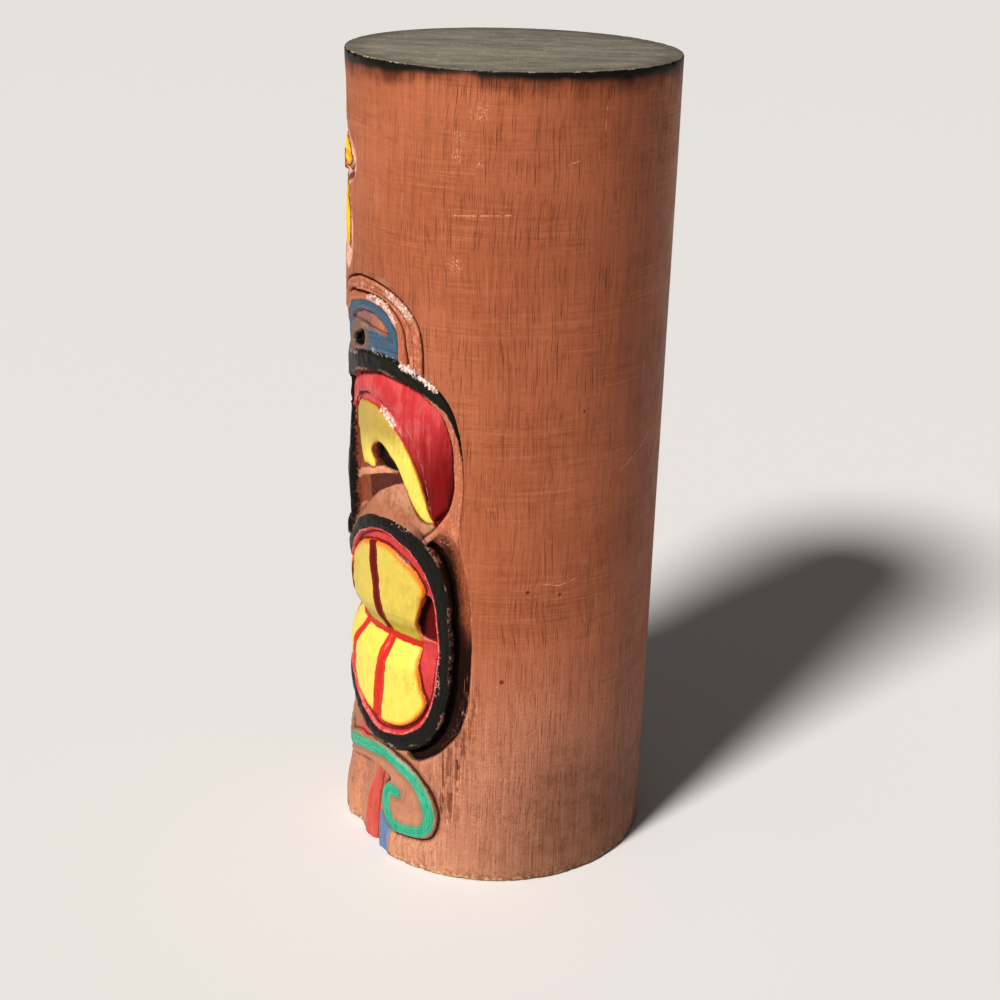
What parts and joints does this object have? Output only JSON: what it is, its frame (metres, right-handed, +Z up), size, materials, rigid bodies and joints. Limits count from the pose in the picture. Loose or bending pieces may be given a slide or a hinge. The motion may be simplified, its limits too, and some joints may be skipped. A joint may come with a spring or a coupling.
{
  "type": "tiki statue",
  "caption": "Round wooden post carved and painted on its front with a tiki face, which stands on its flat sawn underside as an ornament.",
  "frame": {"origin": "middle of the round log at its flat underside", "axes": "+Z up along the log, -Y out of the carved face, +X to the statue's left"},
  "size_m": [0.1946, 0.1964, 0.5],
  "materials": {
    "painted_wood": "brown paint on carved wood, with bright colours in the carving"
  },
  "bodies": {
    "root": {"carved_log": "painted_wood"}
  },
  "joints": []
}
